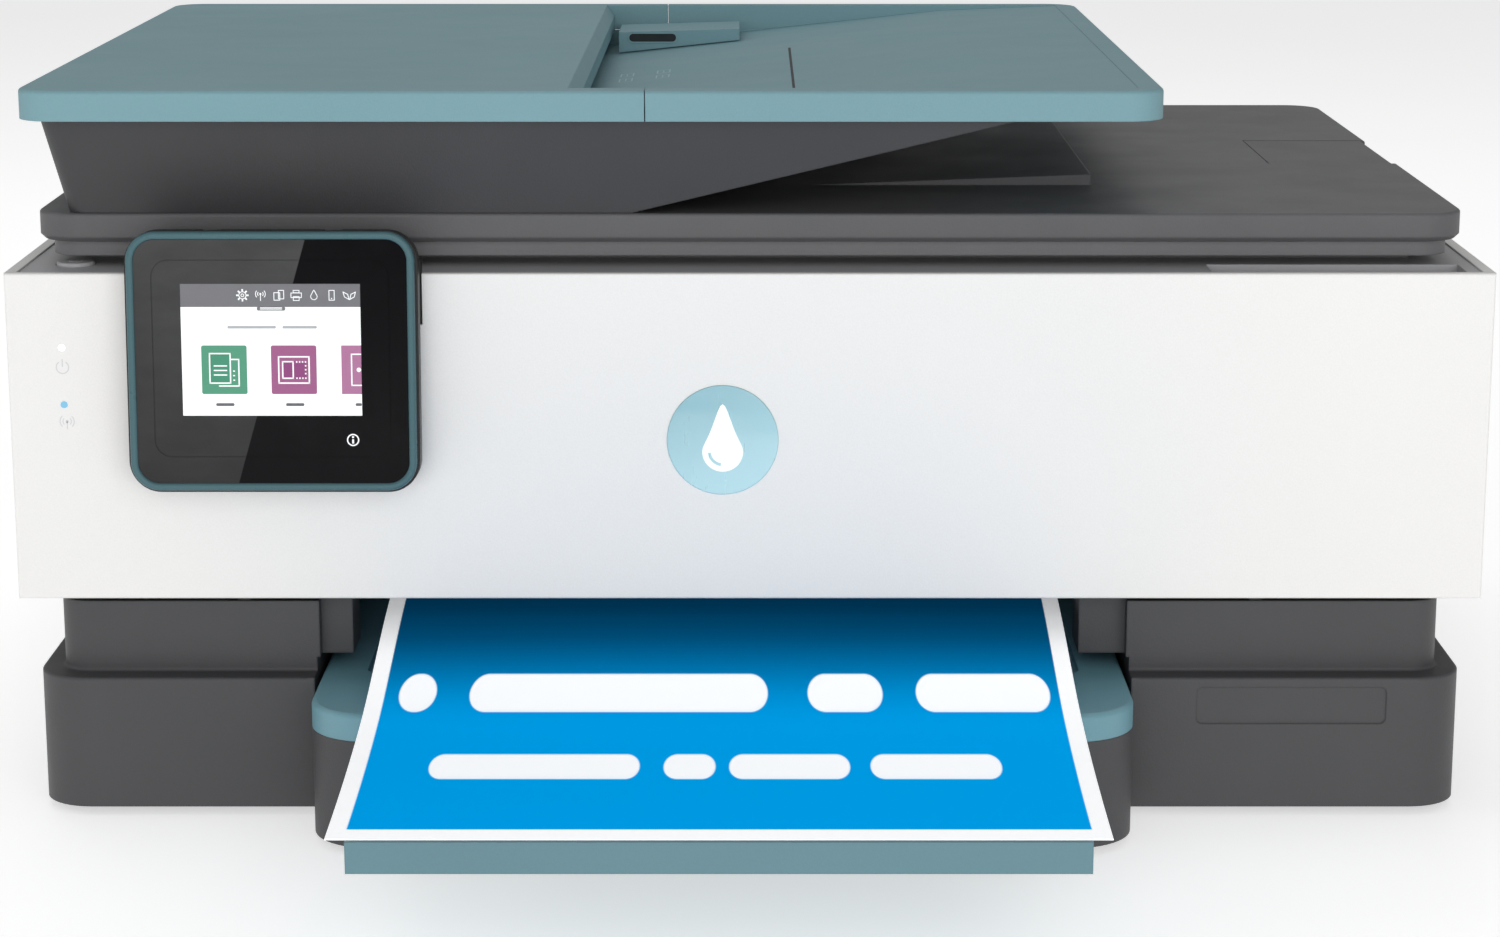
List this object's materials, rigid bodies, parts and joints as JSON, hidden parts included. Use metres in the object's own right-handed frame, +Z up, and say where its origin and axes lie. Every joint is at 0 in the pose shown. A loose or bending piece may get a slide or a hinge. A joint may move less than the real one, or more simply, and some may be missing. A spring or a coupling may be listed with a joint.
{
  "type": "inkjet printer",
  "caption": "Low desktop all-in-one inkjet printer with white door, tilting touch panel, document feeder, paper tray and pull-out output extender.",
  "frame": {"origin": "on the desk, in the middle of the footprint with the paper extender pulled out as in the picture", "axes": "+X to the right seen from the front, +Y from the front door towards the sockets at the back, +Z up"},
  "size_m": [0.46, 0.488, 0.23],
  "materials": {
    "graphite_plastic": "fine spark texture, satin",
    "white_plastic": "very fine texture, satin",
    "teal_plastic": "fine texture, satin",
    "teal_gloss": "satin gloss moulding",
    "black_gloss": "polished black",
    "black_plastic": "plain black moulding",
    "clear_glass": "float glass",
    "screen": "lit display",
    "badge_metal": "brushed, tinted",
    "white_foam": "soft white backing",
    "bright_steel": "ground shaft",
    "sheet_steel": "zinc plated sheet",
    "rubber": "soft rubber",
    "white_gear": "acetal",
    "board_green": "solder mask",
    "ink_blue": "cartridge shell",
    "paper": "coated printed paper",
    "light_white": "light pipe"
  },
  "bodies": {
    "chassis": {"base_housing": "graphite_plastic", "left_side_panel": "white_plastic", "right_side_panel": "white_plastic", "top_deck": "graphite_plastic", "rear_cover": "graphite_plastic", "case_screws": "bright_steel", "rubber_feet": "rubber", "scanner_bed": "graphite_plastic", "scanner_glass": "clear_glass", "scan_rail": "bright_steel", "lid_hinges": "graphite_plastic", "engine_frame": "sheet_steel", "platen": "black_plastic", "carriage_rail": "bright_steel", "carriage_belt": "rubber", "carriage_motor": "sheet_steel", "turn_guide": "black_plastic", "service_station": "black_plastic", "power_supply": "black_plastic", "main_board": "board_green", "power_inlet": "black_plastic", "data_ports": "sheet_steel", "feed_motor": "sheet_steel"},
    "door": {"front_door": "white_plastic", "status_lights": "light_white", "door_badge": "badge_metal", "panel_bracket": "black_plastic"},
    "control_panel": {"panel_housing": "black_plastic", "panel_ring": "teal_gloss", "touch_glass": "black_gloss", "lcd_display": "screen"},
    "power_button": {"power_button": "graphite_plastic"},
    "scan_head": {"scan_head": "black_plastic"},
    "lid": {"scan_lid": "graphite_plastic", "lid_pad": "white_foam", "adf_body": "graphite_plastic", "adf_tray": "teal_plastic"},
    "stop_flap": {"stop_flap": "graphite_plastic"},
    "adf_cover": {"adf_cover": "teal_plastic"},
    "adf_guide_front": {"adf_guide_front": "teal_plastic"},
    "adf_guide_rear": {"adf_guide_rear": "teal_plastic"},
    "adf_feed_roller": {"adf_feed_roller": "rubber"},
    "paper_tray": {"input_tray": "graphite_plastic", "output_tray": "teal_plastic"},
    "extender": {"output_extender": "teal_plastic"},
    "printed_sheet": {"printed_sheet": "paper"},
    "width_guide_left": {"width_guide_left": "black_plastic"},
    "width_guide_right": {"width_guide_right": "black_plastic"},
    "length_guide": {"length_guide": "black_plastic"},
    "feed_roller": {"feed_roller": "bright_steel"},
    "idler_gear": {"idler_gear": "white_gear"},
    "eject_roller": {"eject_roller": "bright_steel"},
    "star_wheels": {"star_wheels": "bright_steel"},
    "carriage": {"carriage": "black_plastic", "printhead": "bright_steel", "ink_cartridges": "ink_blue"},
    "drive_pulley": {"drive_pulley": "white_gear"},
    "tension_pulley": {"tension_pulley": "white_gear"},
    "pick_arm": {"pick_arm": "black_plastic"},
    "pick_roller": {"pick_roller": "rubber"}
  },
  "joints": [
    {"name": "door_hinge", "type": "hinge", "parent": "chassis", "child": "door", "pos_m": [0, -0.0908, 0.073], "axis": [1, 0, 0], "range_deg": [0, 88]},
    {"name": "panel_tilt", "type": "hinge", "parent": "door", "child": "control_panel", "pos_m": [-0.1463, -0.0965, 0.184], "axis": [1, 0, 0], "range_deg": [-45, 0]},
    {"name": "power_press", "type": "slide", "parent": "chassis", "child": "power_button", "axis": [0, 0, -1], "range_m": [0, 0.0008], "stiffness_N_per_m": 300, "springref_m": -0.0005},
    {"name": "scan_travel", "type": "slide", "parent": "chassis", "child": "scan_head", "axis": [1, 0, 0], "range_m": [0, 0.365]},
    {"name": "lid_hinge", "type": "hinge", "parent": "chassis", "child": "lid", "pos_m": [0, 0.2175, 0.184], "axis": [-1, 0, 0], "range_deg": [0, 75]},
    {"name": "flap_hinge", "type": "hinge", "parent": "lid", "child": "stop_flap", "pos_m": [0.22, 0.0685, 0.1896], "axis": [0, 1, 0], "range_deg": [0, 175]},
    {"name": "feeder_cover_hinge", "type": "hinge", "parent": "lid", "child": "adf_cover", "pos_m": [-0.2225, 0.063, 0.2235], "axis": [0, -1, 0], "range_deg": [0, 60]},
    {"name": "feeder_guide_rear", "type": "slide", "parent": "lid", "child": "adf_guide_rear", "axis": [0, 1, 0], "range_m": [-0.07, 0]},
    {"name": "feeder_guide_front", "type": "slide", "parent": "lid", "child": "adf_guide_front", "axis": [0, -1, 0], "range_m": [-0.07, 0]},
    {"name": "feeder_roller_spin", "type": "hinge", "parent": "lid", "child": "adf_feed_roller", "pos_m": [-0.077, 0.04, 0.212], "axis": [0, 1, 0], "continuous": true},
    {"name": "tray_slide", "type": "slide", "parent": "chassis", "child": "paper_tray", "axis": [0, 1, 0], "range_m": [-0.2, 0]},
    {"name": "extender_slide", "type": "slide", "parent": "paper_tray", "child": "extender", "axis": [0, 1, 0], "range_m": [0, 0.1]},
    {"name": "width_guide_left", "type": "slide", "parent": "paper_tray", "child": "width_guide_left", "axis": [1, 0, 0], "range_m": [0, 0.06]},
    {"name": "width_guide_right", "type": "slide", "parent": "paper_tray", "child": "width_guide_right", "axis": [-1, 0, 0], "range_m": [0, 0.06]},
    {"name": "length_guide_slide", "type": "slide", "parent": "paper_tray", "child": "length_guide", "axis": [0, -1, 0], "range_m": [-0.09, 0]},
    {"name": "sheet_feed", "type": "slide", "parent": "paper_tray", "child": "printed_sheet", "axis": [0, 1, 0], "range_m": [-0.03, 0]},
    {"name": "feed_spin", "type": "hinge", "parent": "chassis", "child": "feed_roller", "pos_m": [0, 0.071, 0.0585], "axis": [1, 0, 0], "continuous": true},
    {"name": "idler_spin", "type": "hinge", "parent": "chassis", "child": "idler_gear", "pos_m": [-0.208, 0.016, 0.0585], "axis": [1, 0, 0], "continuous": true},
    {"name": "eject_spin", "type": "hinge", "parent": "chassis", "child": "eject_roller", "pos_m": [0, -0.034, 0.0585], "axis": [1, 0, 0], "continuous": true},
    {"name": "star_spin", "type": "hinge", "parent": "chassis", "child": "star_wheels", "pos_m": [0, -0.034, 0.07015], "axis": [1, 0, 0], "continuous": true},
    {"name": "carriage_travel", "type": "slide", "parent": "chassis", "child": "carriage", "axis": [1, 0, 0], "range_m": [-0.258, 0]},
    {"name": "drive_pulley_spin", "type": "hinge", "parent": "chassis", "child": "drive_pulley", "pos_m": [-0.184, 0.103, 0.112], "axis": [0, 0, 1], "continuous": true},
    {"name": "tension_pulley_spin", "type": "hinge", "parent": "chassis", "child": "tension_pulley", "pos_m": [0.168, 0.103, 0.112], "axis": [0, 0, 1], "continuous": true},
    {"name": "pick_arm_swing", "type": "hinge", "parent": "chassis", "child": "pick_arm", "pos_m": [0, 0.081, 0.046], "axis": [1, 0, 0], "range_deg": [0, 12]},
    {"name": "pick_spin", "type": "hinge", "parent": "pick_arm", "child": "pick_roller", "pos_m": [-0.0085, 0.111, 0.0185], "axis": [1, 0, 0], "continuous": true}
  ],
  "couplings": [
    {"joint": "feeder_guide_front", "follows": "feeder_guide_rear", "ratio": 1},
    {"joint": "width_guide_right", "follows": "width_guide_left", "ratio": 1},
    {"joint": "idler_spin", "follows": "feed_spin", "ratio": -0.57143},
    {"joint": "eject_spin", "follows": "feed_spin", "ratio": 1.3333},
    {"joint": "star_spin", "follows": "feed_spin", "ratio": -1.52},
    {"joint": "drive_pulley_spin", "follows": "carriage_travel", "rad_per_m": 125},
    {"joint": "tension_pulley_spin", "follows": "carriage_travel", "rad_per_m": 125}
  ]
}
